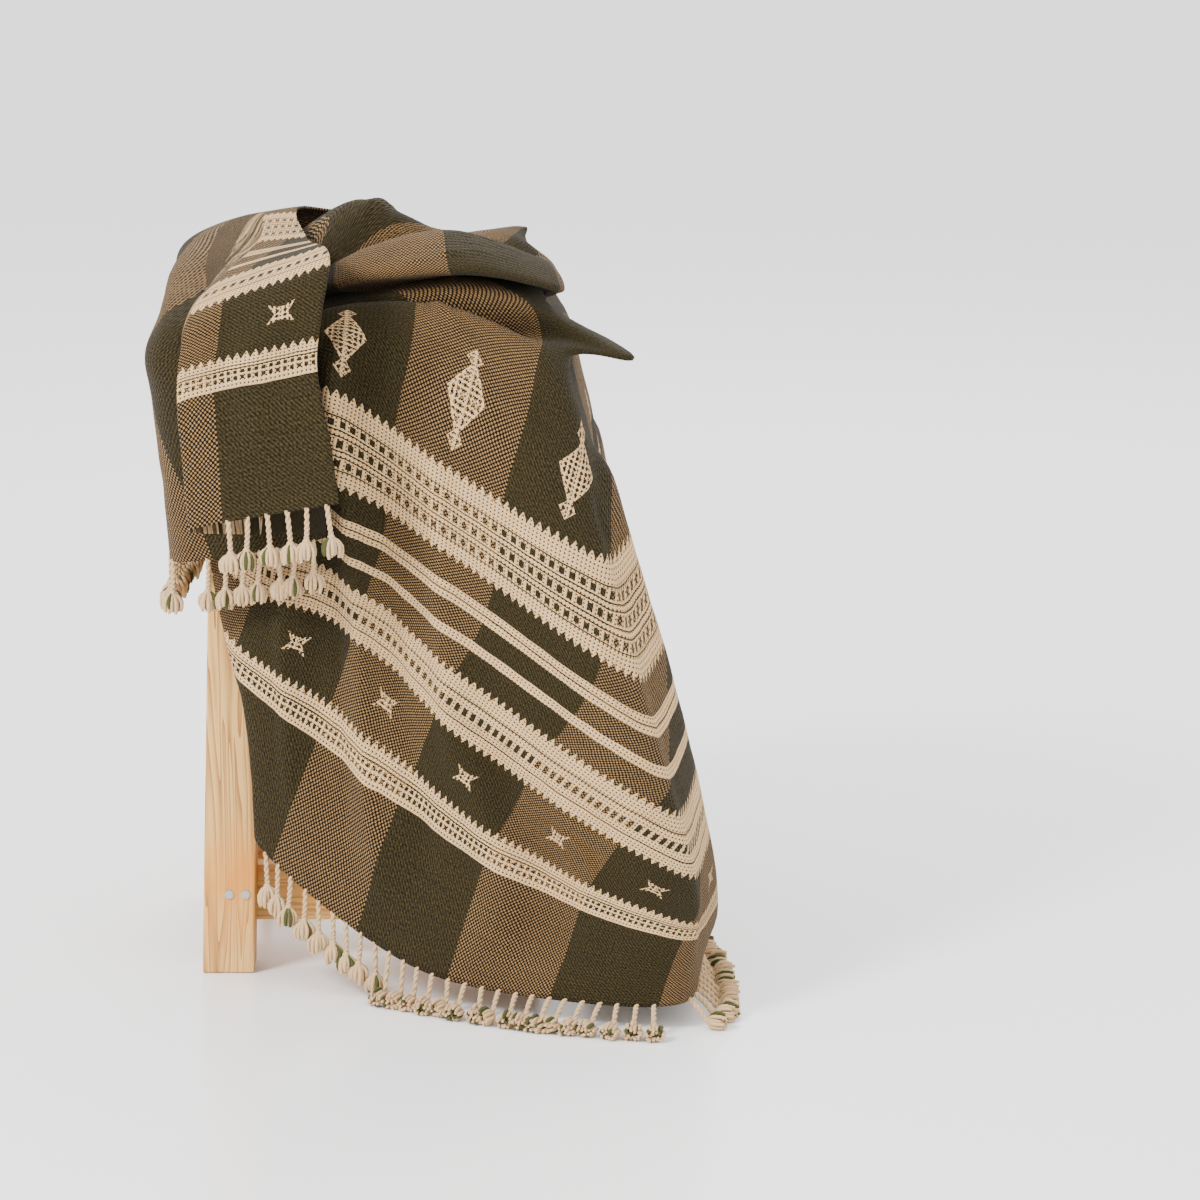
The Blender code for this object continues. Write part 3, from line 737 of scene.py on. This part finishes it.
def woven_wool(settings):
    """Wool cloth in olive twill and tan plain stripes with extra weft: matt, speckled, softly fuzzy, with
    painted shade in uneven clouds.
    """
    material, add = new_material("woven_wool_cloth")
    turn = 2 * math.pi / (settings.thread_pitch / MM)
    weave = add("UVMap", uv_map="weave")
    uneven = add("TexNoise", named={"Vector": weave, "Scale": per_metre(UNEVEN_SIZE), "Detail": 3.0})
    drift = add("Math.MULTIPLY", add("Math.SUBTRACT", uneven, 0.5), THREAD_DRIFT)
    weft = add("Math.ADD", add("Math.DIVIDE", add("SeparateXYZ", weave), MM), drift)
    warp = add("Math.ADD", add("Math.DIVIDE", add("SeparateXYZ", weave, output=1), MM), drift)
    ends = add("Math.SINE", add("Math.MULTIPLY", weft, turn))
    picks = add("Math.SINE", add("Math.MULTIPLY", warp, turn))
    twill = add("Math.SINE", add("Math.MULTIPLY", add("Math.ADD", weft, warp), turn))
    speck = add("TexNoise", named={"Vector": weave, "Scale": per_metre(SPECK_SIZE), "Detail": 2.0})
    cloud = add("TexNoise", named={"Vector": weave, "Scale": per_metre(CLOUD_SIZE), "Detail": 4.0})
    pulled = add("Mapping", named={"Vector": weave, "Scale": [per_metre(size) for size in SLUB_SIZE]})
    slub = add("TexNoise", named={"Vector": pulled, "Scale": 1.0, "Detail": 2.0})

    # Olive twill: the slanting lines and the specks lighten a dark ground
    lighter = add("Math.MULTIPLY_ADD", speck, OLIVE_SPECKS, OLIVE_DEPTH)
    tone = add("Clamp", add("Math.MULTIPLY_ADD", twill, OLIVE_LINES, lighter))
    olive = add("Mix", named={"Factor": tone, LOW: linear(settings.olive_dark),
                              HIGH: linear(settings.olive)}, **COLOUR_MIX)

    # Tan plain weave: round seeds of thread on a dark weft
    seeds = add("Math.MULTIPLY_ADD", ends, picks, add("Math.MULTIPLY", speck, SEED_SPECKS))
    thread = add("Math.GREATER_THAN", seeds, SEED_EDGE)
    shade = add("Math.MULTIPLY_ADD", speck, SHADE_SPECKS, SHADE_DEPTH)
    tan_thread = add("Mix", named={"Factor": shade, LOW: linear(TAN_SHADE), HIGH: linear(settings.tan)},
                     **COLOUR_MIX)
    tan = add("Mix", named={"Factor": thread, LOW: linear(settings.brown), HIGH: tan_thread}, **COLOUR_MIX)
    stripe = add("Math.GREATER_THAN", add("Math.FRACT", add("Math.DIVIDE", weft, 2 * STRIPE)), 0.5)
    ground = add("Mix", named={"Factor": stripe, LOW: olive, HIGH: tan}, **COLOUR_MIX)

    # Extra weft in beige, with dark gaps between its threads
    pattern = add("Math.MAXIMUM", band_mask(add, weft, warp), motif_mask(add, weft, warp))
    covered = add("Math.GREATER_THAN", add("Math.ADD", ends, picks), BEIGE_GAP_EDGE)
    beige_thread = add("Mix", named={"Factor": shade, LOW: linear(BEIGE_SHADE),
                                     HIGH: linear(settings.beige)}, **COLOUR_MIX)
    beige = add("Mix", named={"Factor": covered, LOW: linear(BEIGE_GAP), HIGH: beige_thread}, **COLOUR_MIX)
    colour = add("Mix", named={"Factor": pattern, LOW: ground, HIGH: beige}, **COLOUR_MIX)

    # Painted shade: clouds and long slubs darken all of it unevenly toward a near-black shadow colour
    painted_shade_streaks = add("Math.MULTIPLY_ADD", slub, SLUB_DARKENS, PAINTED_SHADE_DEPTH)
    painted_shade_mask = add("Math.MULTIPLY_ADD", cloud, CLOUD_DARKENS, painted_shade_streaks)
    shaded_colour = add("Mix", named={"Factor": painted_shade_mask, LOW: colour, HIGH: linear(PAINTED_SHADOW_COLOUR)}, **COLOUR_MIX)
    threads = add("Math.MULTIPLY", add("Math.ADD", ends, picks), THREAD_RELIEF)
    fuzz = add("Math.MULTIPLY_ADD", speck, FUZZ_RELIEF, pattern)
    relief = add("Math.ADD", threads, fuzz)
    bump = add("Bump", named={"Height": relief, "Distance": CLOTH_RELIEF, "Strength": 0.9})
    give_surface(add, {"Base Color": shaded_colour, "Roughness": 0.92, "Specular IOR Level": 0.12,
                       "Sheen Weight": 0.03, "Sheen Roughness": 0.5, "Normal": bump})
    return material


def cut_yarn(name, shade, light):
    """Wool yarn, twisted and cut: matt, with loose fibres that catch the light."""
    material, add = new_material(name)
    place = add("TexCoord", output="Object")
    fibre = add("TexNoise", named={"Vector": place, "Scale": per_metre(WOOL_FIBRE_SIZE), "Detail": 2.0})
    colour = add("Mix", named={"Factor": fibre, LOW: linear(shade), HIGH: linear(light)}, **COLOUR_MIX)
    bump = add("Bump", named={"Height": fibre, "Distance": YARN_RELIEF, "Strength": 0.6})
    give_surface(add, {"Base Color": colour, "Roughness": 0.95, "Specular IOR Level": 0.2,
                       "Sheen Weight": 0.05, "Normal": bump})
    return material


def planed_pine(settings, name, along_axis):
    """Bare planed pine: pale, with warm late-wood lines along the board and a soft sheen."""
    material, add = new_material(name)
    place = add("TexCoord", output="Object")
    millimetres = [1.0 / MM] * 3
    millimetres[along_axis] /= GRAIN_STRETCH
    grain = add("Mapping", named={"Vector": place, "Scale": millimetres})
    rings = add("TexNoise", named={"Vector": grain, "Scale": 1.0 / RING_SIZE, "Detail": 1.5,
                                   "Distortion": 0.5})
    late = add("Math.POWER", add("Math.FRACT", add("Math.MULTIPLY", rings, RING_LINES)), LATE_SHARPNESS)
    fibre = add("TexNoise", named={"Vector": grain, "Scale": 1.0 / PINE_FIBRE_SIZE, "Detail": 3.0})
    colour = add("Mix", named={"Factor": add("Math.MULTIPLY", late, LATE_SHOWS), LOW: linear(settings.pine),
                               HIGH: linear(settings.grain)}, **COLOUR_MIX)
    colour = add("Mix", named={"Factor": add("Math.MULTIPLY", fibre, FIBRE_SHOWS), LOW: colour,
                               HIGH: linear(FIBRE_SHADE)}, **COLOUR_MIX)

    # Resin stains on the legs, at the lower rails' height
    height = add("SeparateXYZ", place, output=2)
    blot = add("TexNoise", named={"Vector": place, "Scale": per_metre(BLOT_SIZE), "Detail": 2.0})
    off = add("Math.ABSOLUTE", add("Math.SUBTRACT", height, RESIN_HIGH))
    near = add("Math.SUBTRACT", 1.0, add("Math.DIVIDE", off, RESIN_REACH))
    patch = add("Math.MULTIPLY_ADD", blot, BLOT_CONTRAST, BLOT_DEPTH)
    resin = add("Clamp", add("Math.MULTIPLY", near, patch))
    colour = add("Mix", named={"Factor": add("Math.MULTIPLY", resin, RESIN_SHOWS), LOW: colour,
                               HIGH: linear(RESIN)}, **COLOUR_MIX)
    relief = add("Math.ADD", fibre, late)
    bump = add("Bump", named={"Height": relief, "Distance": PINE_RELIEF, "Strength": 0.35})
    give_surface(add, {"Base Color": colour, "Roughness": 0.52, "Normal": bump})
    return material


def zinc_steel():
    """Zinc-plated steel screw heads: pale grey, satin."""
    material, add = new_material("zinc_plated_steel")
    place = add("TexCoord", output="Object")
    grit = add("TexNoise", named={"Vector": place, "Scale": per_metre(GRIT_SIZE)})
    colour = add("Mix", named={"Factor": grit, LOW: linear(ZINC_SHADE), HIGH: linear(ZINC)}, **COLOUR_MIX)
    give_surface(add, {"Base Color": colour, "Metallic": 1.0, "Roughness": 0.38})
    return material


def pale_floor():
    """A pale, smooth floor that faintly mirrors what stands on it."""
    material, add = new_material("pale_floor")
    give_surface(add, {"Base Color": linear(FLOOR_COLOUR), "Roughness": 0.2})
    return material


class THROW_OT_cloth(bpy.types.Operator):
    """Make the draped cloth in its woven wool."""
    bl_idname = "throw.cloth"
    bl_label = "Draped cloth"

    def execute(self, context):
        settings = context.scene.throw_settings
        cloth = make_sheet("throw_cloth", settings.cells_across, settings.cells_along)
        cloth.data.materials.append(woven_wool(settings))
        wall = cloth.modifiers.new("thickness", "SOLIDIFY")
        wall.thickness = settings.thickness
        wall.offset = 0.0
        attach(cloth, "root")
        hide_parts("blanket_cloth")
        return {"FINISHED"}


class THROW_OT_fringe(bpy.types.Operator):
    bl_idname = "throw.fringe"
    bl_label = "Tasselled hems"

    def execute(self, context):
        settings = context.scene.throw_settings
        yarns = (cut_yarn("undyed_wool_yarn", *UNDYED_YARN), cut_yarn("olive_wool_yarn", *OLIVE_YARN))
        for name, hem, start, end in FRINGES:
            piece = make_fringe("tassels_" + name, hem, start, end, settings.tuft_strands, yarns)
            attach(piece, "root")
            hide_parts(name)
        return {"FINISHED"}


class THROW_OT_stool(bpy.types.Operator):
    """Give the stool's boards their pine, eased edges and steel screws."""
    bl_idname = "throw.stool"
    bl_label = "Pine stool"

    def execute(self, context):
        settings = context.scene.stool_settings
        upright = planed_pine(settings, "planed_pine_upright", along_axis=2)
        crosswise = planed_pine(settings, "planed_pine_crosswise", along_axis=0)
        endwise = planed_pine(settings, "planed_pine_endwise", along_axis=1)
        steel = zinc_steel()
        for name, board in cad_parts.items():
            if not name.startswith("stool_"):
                continue
            if "screw" in name:
                finish = steel
            elif "leg" in name:
                finish = upright
            elif name.endswith(("rail_left", "rail_right")):
                finish = endwise
            else:
                finish = crosswise
            board.data.materials.clear()
            board.data.materials.append(finish)
            if finish is not steel:
                weld = board.modifiers.new("weld", "WELD")
                weld.merge_threshold = WELD_REACH
                edge = board.modifiers.new("eased", "BEVEL")
                edge.width = settings.edge
                edge.segments = 2
        return {"FINISHED"}


class THROW_OT_stage(bpy.types.Operator):
    """Lay the pale floor and set the light and the camera."""
    bl_idname = "throw.stage"
    bl_label = "Stage"

    def execute(self, context):
        scene = context.scene
        floor_mesh = bmesh.new()
        bmesh.ops.create_grid(floor_mesh, x_segments=1, y_segments=1, size=FLOOR_HALF)
        bmesh.ops.translate(floor_mesh, vec=(0, 0, -FLOOR_BELOW), verts=floor_mesh.verts)
        mesh = bpy.data.meshes.new("floor")
        floor_mesh.to_mesh(mesh)
        floor_mesh.free()
        floor = bpy.data.objects.new("floor", mesh)
        scene.collection.objects.link(floor)
        floor.data.materials.append(pale_floor())
        world = bpy.data.worlds.new("studio")
        scene.world = world
        world.use_nodes = True
        back = world.node_tree.nodes["Background"]
        back.inputs["Color"].default_value = linear(DAYLIGHT_COLOUR)
        back.inputs["Strength"].default_value = DAYLIGHT
        for name, place, power, size in LAMPS:
            light = bpy.data.lights.new(name, "AREA")
            light.energy = power
            light.size = size
            lamp = bpy.data.objects.new(name, light)
            lamp.location = place
            lamp.rotation_euler = (LAMP_AIM - lamp.location).to_track_quat("-Z", "Y").to_euler()
            scene.collection.objects.link(lamp)
        view = bpy.data.cameras.new("camera")
        view.lens = CAMERA_LENS
        view.sensor_width = SENSOR_WIDTH
        camera = bpy.data.objects.new("camera", view)
        tilt = math.radians(CAMERA_TILT)
        camera.location = CAMERA_AIM + Vector((0, -math.cos(tilt), math.sin(tilt))) * CAMERA_AWAY
        camera.rotation_euler = (CAMERA_AIM - camera.location).to_track_quat("-Z", "Y").to_euler()
        scene.collection.objects.link(camera)
        scene.camera = camera
        return {"FINISHED"}


class THROW_PT_panel(bpy.types.Panel):
    """The throw's operators in the sidebar."""
    bl_idname = "THROW_PT_panel"
    bl_label = "Wool throw"
    bl_space_type = "VIEW_3D"
    bl_region_type = "UI"
    bl_category = "Throw"

    def draw(self, context):
        for operator in (THROW_OT_cloth, THROW_OT_fringe, THROW_OT_stool, THROW_OT_stage):
            self.layout.operator(operator.bl_idname)


CLASSES = (ThrowSettings, StoolSettings, THROW_OT_cloth, THROW_OT_fringe, THROW_OT_stool, THROW_OT_stage,
           THROW_PT_panel)


def register():
    for item in CLASSES:
        bpy.utils.register_class(item)
    bpy.types.Scene.throw_settings = bpy.props.PointerProperty(type=ThrowSettings)
    bpy.types.Scene.stool_settings = bpy.props.PointerProperty(type=StoolSettings)


def unregister():
    del bpy.types.Scene.stool_settings
    del bpy.types.Scene.throw_settings
    for item in reversed(CLASSES):
        bpy.utils.unregister_class(item)


def main():
    register()
    bpy.ops.throw.cloth()
    bpy.ops.throw.fringe()
    bpy.ops.throw.stool()
    bpy.ops.throw.stage()


if __name__ == "__main__":
    main()
